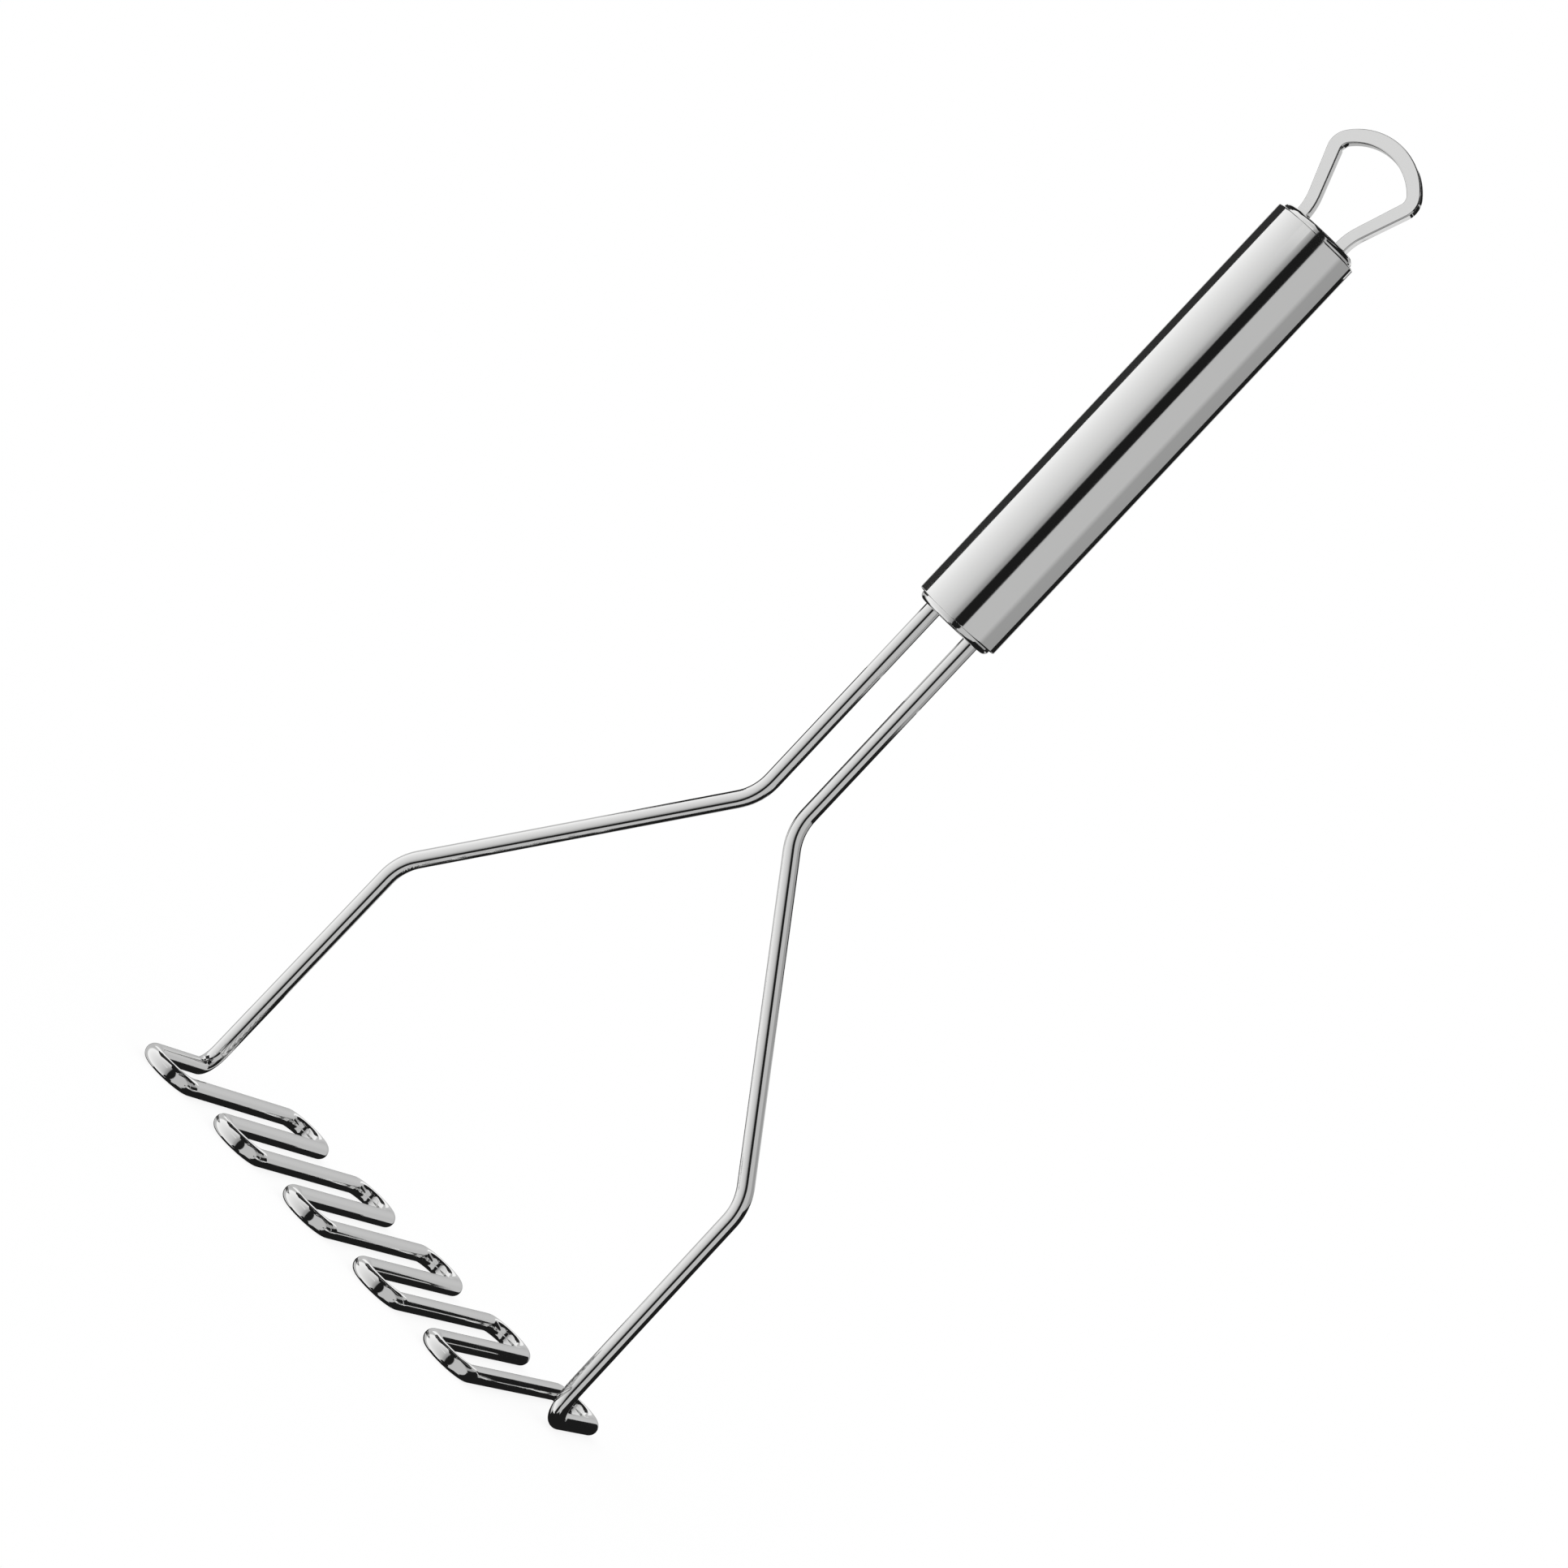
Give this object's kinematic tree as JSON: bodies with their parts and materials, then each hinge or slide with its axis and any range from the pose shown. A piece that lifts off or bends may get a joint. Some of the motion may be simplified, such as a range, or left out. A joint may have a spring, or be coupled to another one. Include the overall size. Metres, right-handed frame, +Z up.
{
  "type": "potato masher",
  "caption": "Hand masher: a bent round wire forms the legs and a serpentine mashing face, welded into a tubular handle with end caps and a hanging loop.",
  "frame": {"origin": "on the surface that the mashing face rests on, at the middle of the face, below the handle's axis", "axes": "+Z up along the handle, X across the two legs, Y along the straight runs of the mashing face"},
  "size_m": [0.1022, 0.0712, 0.291],
  "materials": {
    "wire_steel": "polished stainless steel wire",
    "handle_steel": "mirror-polished stainless steel",
    "loop_steel": "polished stainless steel plate",
    "weld_metal": "bare weld metal"
  },
  "bodies": {
    "root": {"masher_wire": "wire_steel", "handle_tube": "handle_steel", "lower_end_cap": "handle_steel", "upper_end_cap": "handle_steel", "hanging_loop": "loop_steel", "leg_welds": "weld_metal", "loop_welds": "weld_metal"}
  },
  "joints": []
}
